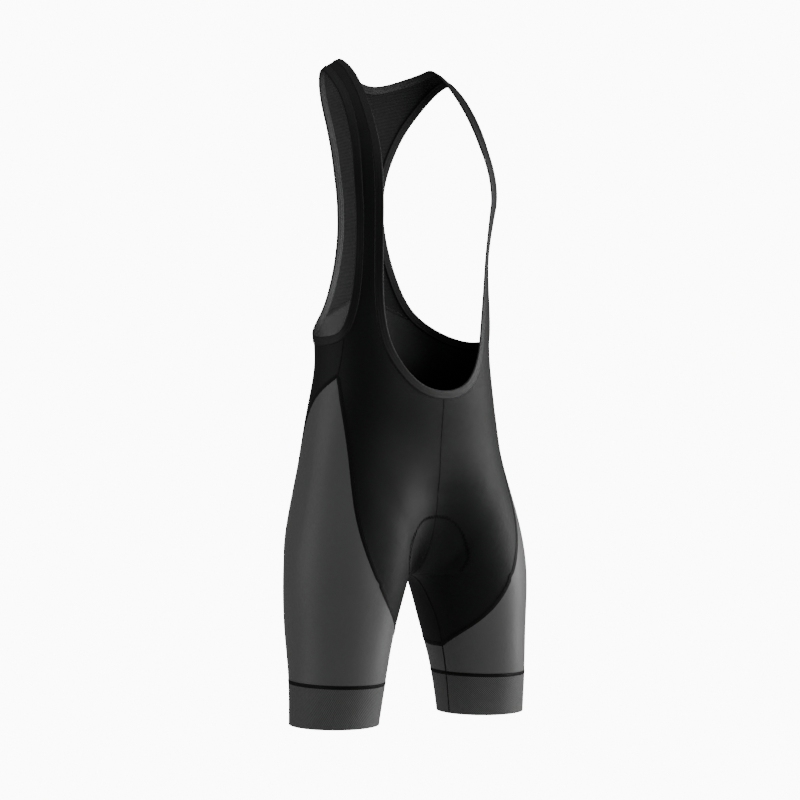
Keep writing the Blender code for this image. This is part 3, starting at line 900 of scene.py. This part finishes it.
def band_section():
    """The folded elastic's outline: across from 0 to 1, and height to each side, with rounded edges."""
    across = (1 - np.cos(np.linspace(0, np.pi, BAND_POINTS))) / 2
    edge = np.sqrt(np.clip(1 - np.abs(2 * across - 1) ** 6, 0, 1))
    height = (BINDING_HALF + RIDGE * np.abs(np.sin(RIDGES * np.pi * across))) * edge
    outline = np.concatenate([across, across[-2:0:-1]])
    return outline, np.concatenate([height, -height[-2:0:-1]])


def binding(edge, sewn, closed):
    """The section carried along an edge, between the finished line and the sewn line."""
    if closed:
        edge, sewn = edge[:-1], sewn[:-1]
    inward = sewn - edge
    width = np.linalg.norm(inward, axis=1, keepdims=True)
    outward = normals((edge + sewn) / 2)
    reach, height = band_section()
    span = inward / width * (width + BINDING_OVERLAP)
    points = edge[:, None] + reach[None, :, None] * span[:, None] + height[None, :, None] * outward[:, None]
    points = creased(points)
    rows, columns = points.shape[:2]
    ring = np.arange(columns)
    stations = np.arange(rows if closed else rows - 1)
    a = stations[:, None] * columns + ring
    b = stations[:, None] * columns + np.roll(ring, -1)
    total = rows * columns
    faces = np.stack([a, b, (b + columns) % total, (a + columns) % total], -1).reshape(-1, 4)
    along = length_along(edge)
    cloth = np.stack(np.broadcast_arrays(reach[None] * BINDING_WIDTH, along[:, None]), -1).reshape(-1, 2)
    return points.reshape(-1, 3), faces, cloth


def facing_out(points, faces):
    """Faces turned so that a closed shape's volume is positive."""
    a, b, c, d = (points[faces[:, k]] for k in range(4))
    volume = np.sum(a * np.cross(b, c)) + np.sum(a * np.cross(c, d))
    return faces if volume > 0 else faces[:, ::-1]


trim = binding_look()
points, faces, cloth = binding(arm, arm_in, True)
for side, word in SIDES:
    made = meshed(f"Armhole_binding_{word}", points, facing_out(points, faces), cloth, trim, side)
    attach(made, "root")
    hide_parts(f"armhole_binding_{word}")
points, faces, cloth = binding(neck, neck_in, False)
points, faces, cloth = both_sides(points, facing_out(points, faces), cloth)
made = meshed("Neck_binding", points, faces, cloth, trim)
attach(made, "root")
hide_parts("neck_binding")

# ---- The seams --------------------------------------------------------------------------------------
# Flatlock seams lie on the panels as low bands of black thread, outside and inside alike; the two
# centre seams are finer and lie on the outside only.

SEAM_POINTS, SEAM_STEPS = 13, 160
SEAM_EDGE = 0.05 * MM   # how thick a seam band still is at its edges


def seam_look():
    """Black sewing thread, in close slanting stitches."""
    look = Look("Seam_thread", 0.55, 0.0, 0.5, 0.2)
    across, along = look.cloth_axes()
    stitches = wave(along + across * 0.6, 1.5 * MM)
    look.shade((0.0005, 0.0005, 0.0005), (0.005, 0.005, 0.005), stitches)
    look.bump(stitches, 0.6, 0.3 * MM)
    return look.material


def seam_band(name, places, width, height, side=1, face=1):
    """A low rounded band of thread along a row of places, lowest at a quarter and three quarters of its
    width, where the needles went; face -1 lays it on the inside of the cloth."""
    line = creased(on_form(evenly(places, SEAM_STEPS)))
    outward = face * normals(line)
    sideways = np.cross(outward, np.gradient(line, axis=0))
    sideways /= np.linalg.norm(sideways, axis=1, keepdims=True)
    across = np.cos(np.linspace(0, np.pi, SEAM_POINTS))
    groove = 0.75 + 0.25 * np.cos(2 * np.pi * across)
    lift = height * np.sqrt(np.clip(1 - across**4, 0, 1)) * groove
    outline = np.concatenate([across, across[::-1]])
    lift = np.concatenate([lift, -0.5 * lift[::-1] - SEAM_EDGE])
    points = (
        line[:, None]
        + outline[None, :, None] * sideways[:, None] * width / 2
        + (lift[None, :, None] + PANEL_WALL / 2) * outward[:, None]
    )
    rows, columns = points.shape[:2]
    ring = np.arange(columns)
    a = np.arange(rows - 1)[:, None] * columns + ring
    b = np.arange(rows - 1)[:, None] * columns + np.roll(ring, -1)
    faces = np.stack([a, b, b + columns, a + columns], -1).reshape(-1, 4)
    along = length_along(line)
    cloth = np.stack(np.broadcast_arrays(outline[None] * width / 2, along[:, None]), -1).reshape(-1, 2)
    points = points.reshape(-1, 3)
    cap = np.arange(1, SEAM_POINTS)
    caps = np.stack([cap - 1, cap, columns - 1 - cap, columns - cap], -1)
    last = (rows - 1) * columns
    faces = np.vstack([faces, caps[:, ::-1], caps + last])
    made = meshed(name, points, facing_out(points, faces), cloth, thread, side)
    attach(made, "root")
    return made


thread = seam_look()
cuff_ring = np.stack([np.linspace(0, 1, 200), np.full(200, CUFF_TOP)], -1)
# the row, its width and height in millimetres, and a slot
SEAMS = {
    "Leg_seam": (leg_top, 5.5, 0.7, "black_lycra"),
    "Side_seam": (side_seam, 2.2, 0.4, "black_lycra"),
    "Cuff_seam": (cuff_ring, 5.0, 0.6, "gripper"),
    "Inseam": (straight(inseam_top, np.array([0.0, HEM]), 60), 2.4, 0.5, "grey_lycra"),
    "Fork_inseam": (straight(fork, inseam_top, 60), 2.4, 0.5, "black_lycra"),
    "Arch_seam": (arch, 4.5, 0.6, "black_lycra"),
    "Shoulder_seam": (shoulder, 3.0, 0.5, "black_lycra"),
}
for seam_name, (row, width, height, slot) in SEAMS.items():
    for side, word in SIDES:
        for place, face in (("", 1), ("_inside", -1)):
            made = seam_band(f"{seam_name}{place}_{word}", row, width * MM, height * MM, side, face)
for seam_name, row in (("Front_centre_seam", rise), ("Back_centre_seam", seat_rise)):
    seam_band(seam_name, row, 2.0 * MM, 0.35 * MM)

# ---- The seat pad -----------------------------------------------------------------------------------
# A moulded foam pad covered in brushed jersey lies inside the fork, held by a zigzag of thread that
# shows on the front panels as a rounded arch.

PAD_WALL = 6.0 * MM
PAD_CLEAR = 1.2 * MM
PAD_ROWS_FRONT, PAD_ROWS_BACK, PAD_COLUMNS = 15, 25, 14
# The pad's stitched outline on one side: across, back, up
PAD_ARCH = MM * np.array([
    (0, -109, -611),
    (18, -111, -614),
    (34, -113, -626),
    (45, -114, -647),
    (49, -114, -668),
    (42, -106, -686),
])
ZIGZAG_PITCH, ZIGZAG_REACH, THREAD = 5.0 * MM, 2.2 * MM, 0.6 * MM  # THREAD is a radius
THREAD_SIDES = 8


def pad_look():
    """Dark brushed jersey over foam."""
    look = Look("Pad_jersey", 0.8, 0.3, 0.5, 0.3)
    look.shade((0.010, 0.010, 0.012), (0.030, 0.030, 0.034), look.noise(400.0, 4.0))
    look.bump(look.noise(1500.0), 0.4, 0.3 * MM)
    return look.material


front_points, seat_points = on_form(front), on_form(seat)
block = np.vstack([
    front_points[PAD_ROWS_FRONT:0:-1, :PAD_COLUMNS],
    seat_points[:PAD_ROWS_BACK + 1, :PAD_COLUMNS],
])
rows, columns = block.shape[:2]
row_share = np.linspace(-1, 1, rows)[:, None]
column_share = np.linspace(0, 1, columns)[None]
edge = np.clip(1 - np.abs(row_share) ** 4, 0, 1) * np.clip(1 - column_share**4, 0, 1)
block_cloth = grid_cloth(block)
outward = normals(block)
top = block - (PANEL_WALL / 2 + PAD_CLEAR) * outward
under = top - ((0.15 + 0.85 * edge**0.5) * PAD_WALL)[..., None] * outward
count = rows * columns
faces = grid_faces(rows, columns)
half_points = np.vstack([top.reshape(-1, 3), under.reshape(-1, 3)])
starts, stops = faces.ravel(), np.roll(faces, -1, axis=1).ravel()
flat_top = top.reshape(-1, 3)
border = ~np.isin(starts * count + stops, stops * count + starts)
border &= (np.abs(flat_top[starts, 0]) > 1e-4) | (np.abs(flat_top[stops, 0]) > 1e-4)
starts, stops = starts[border], stops[border]
rim = np.stack([stops, starts, starts + count, stops + count], -1)
half_faces = np.vstack([faces, faces[:, ::-1] + count, rim])
half_points[np.abs(half_points[:, 0]) < 1e-4, 0] = 0
half_cloth = np.vstack([block_cloth, block_cloth])
pad_points, pad_faces, pad_cloth = both_sides(half_points, half_faces, half_cloth)
pad = meshed("Seat_pad", pad_points, facing_out(pad_points, pad_faces), pad_cloth, pad_look())
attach(pad, "root")
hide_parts("seat_pad")


def zigzag(rows):
    """A round thread carried along a zigzag about a smooth line on the panels."""
    along = length_along(rows)
    line = spline(along, rows, np.linspace(0, along[-1], 400))
    line = on_form(place_of(line))
    distance = length_along(line)
    count = int(distance[-1] / ZIGZAG_PITCH) * 8  # eight stations to each stitch
    at = np.linspace(0, distance[-1], count)
    line = np.stack([np.interp(at, distance, line[:, k]) for k in range(3)], -1)
    outward = normals(line)
    sideways = np.cross(outward, np.gradient(line, axis=0))
    sideways /= np.linalg.norm(sideways, axis=1, keepdims=True)
    swing = 2 / np.pi * np.arcsin(np.sin(2 * np.pi * at / ZIGZAG_PITCH))
    line = line + (swing * ZIGZAG_REACH)[:, None] * sideways + (PANEL_WALL / 2 + 0.2 * MM) * outward
    angle = np.linspace(0, 2 * np.pi, THREAD_SIDES, endpoint=False)
    ahead = np.gradient(line, axis=0)
    ahead /= np.linalg.norm(ahead, axis=1, keepdims=True)
    sideways = np.cross(outward, ahead)
    points = line[:, None] + THREAD * (
        np.cos(angle)[None, :, None] * sideways[:, None] + np.sin(angle)[None, :, None] * outward[:, None]
    )
    ring = np.arange(THREAD_SIDES)
    a = np.arange(count - 1)[:, None] * THREAD_SIDES + ring
    b = np.arange(count - 1)[:, None] * THREAD_SIDES + np.roll(ring, -1)
    faces = np.stack([a, b, b + THREAD_SIDES, a + THREAD_SIDES], -1).reshape(-1, 4)
    return points.reshape(-1, 3), faces, np.stack(
        np.broadcast_arrays(angle[None] * THREAD, at[:, None]), -1
    ).reshape(-1, 2)


points, faces, cloth = zigzag(PAD_ARCH)
points = np.vstack([points, points * (-1, 1, 1)])
faces = np.vstack([faces, faces[:, ::-1] + len(points) // 2])
stitching = meshed("Pad_stitching", points, faces, np.vstack([cloth, cloth]), thread)
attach(stitching, "root")
